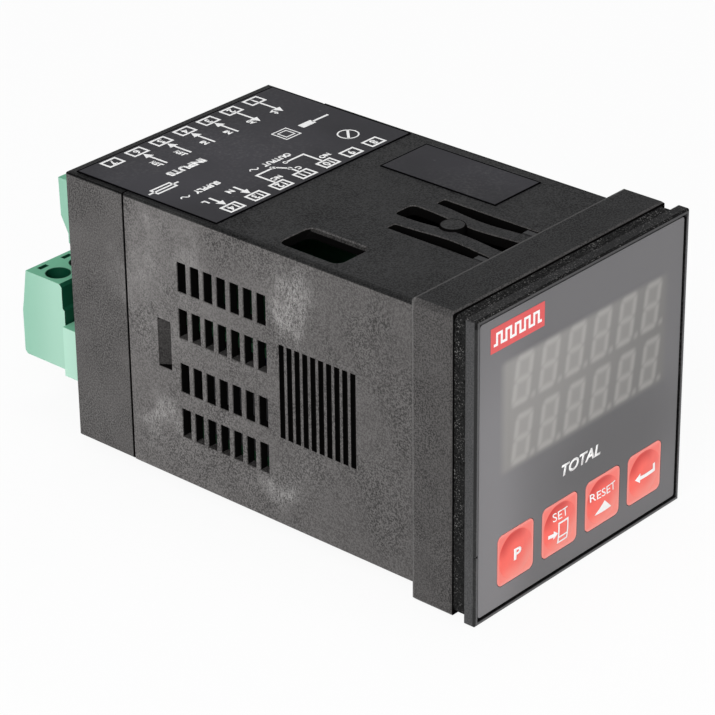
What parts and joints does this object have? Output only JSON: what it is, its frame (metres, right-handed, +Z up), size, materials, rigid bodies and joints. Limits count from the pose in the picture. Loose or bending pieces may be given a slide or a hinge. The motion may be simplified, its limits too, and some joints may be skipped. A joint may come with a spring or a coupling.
{
  "type": "panel counter",
  "caption": "Square panel-mount counter: bezel with digit rows and domed keys, flanged vented housing with clamp racks, plug-in screw terminals at the rear.",
  "frame": {"origin": "centre of the flange's rear face, which seats on the panel", "axes": "+X to the right as seen from the front, +Y from the front to the rear, +Z up"},
  "size_m": [0.048, 0.0971, 0.048],
  "materials": {
    "case_plastic": "fine grained, dusty, dark grey",
    "bezel_plastic": "fine grained black",
    "gasket_foam": "open foam",
    "foil_print": "satin printed film",
    "key_red": "satin domed film",
    "switch_plastic": "moulded",
    "board_laminate": "solder resist",
    "digit_face": "satin",
    "plated_steel": "zinc plated",
    "contact_brass": "tinned",
    "core_steel": "varnished laminations",
    "coil_tape": "insulating tape over windings",
    "relay_case": "moulded",
    "capacitor_sleeve": "shrink sleeve",
    "suppressor_case": "moulded",
    "terminal_green": "satin moulded",
    "label_film": "satin film"
  },
  "bodies": {
    "case": {"front_bezel": "bezel_plastic", "front_gasket": "gasket_foam", "front_foil": "foil_print", "key_switches": "switch_plastic", "display_board": "board_laminate", "board_screws": "plated_steel", "upper_digits": "digit_face", "lower_digits": "digit_face", "housing": "case_plastic", "rear_cover": "case_plastic", "signal_board": "board_laminate", "power_board": "board_laminate", "display_link": "switch_plastic", "board_link": "contact_brass", "microcontroller": "switch_plastic", "optocouplers": "switch_plastic", "transformer_core": "core_steel", "transformer_coil": "coil_tape", "relay": "relay_case", "smoothing_capacitors": "capacitor_sleeve", "suppressor": "suppressor_case", "upper_header": "terminal_green", "lower_header": "terminal_green", "upper_pins": "contact_brass", "lower_pins": "contact_brass", "upper_plug": "terminal_green", "lower_plug": "terminal_green", "upper_clamps": "plated_steel", "lower_clamps": "plated_steel", "upper_screws": "plated_steel", "lower_screws": "plated_steel", "terminal_label": "label_film", "blank_label": "label_film"},
    "p_button": {"key_p": "key_red", "plunger_p": "switch_plastic"},
    "set_button": {"key_set": "key_red", "plunger_set": "switch_plastic"},
    "reset_button": {"key_reset": "key_red", "plunger_reset": "switch_plastic"},
    "enter_button": {"key_enter": "key_red", "plunger_enter": "switch_plastic"}
  },
  "joints": [
    {"name": "p_press", "type": "slide", "parent": "case", "child": "p_button", "axis": [0, 1, 0], "range_m": [0, 0.0003], "stiffness_N_per_m": 4000},
    {"name": "set_press", "type": "slide", "parent": "case", "child": "set_button", "axis": [0, 1, 0], "range_m": [0, 0.0003], "stiffness_N_per_m": 4000},
    {"name": "reset_press", "type": "slide", "parent": "case", "child": "reset_button", "axis": [0, 1, 0], "range_m": [0, 0.0003], "stiffness_N_per_m": 4000},
    {"name": "enter_press", "type": "slide", "parent": "case", "child": "enter_button", "axis": [0, 1, 0], "range_m": [0, 0.0003], "stiffness_N_per_m": 4000}
  ]
}
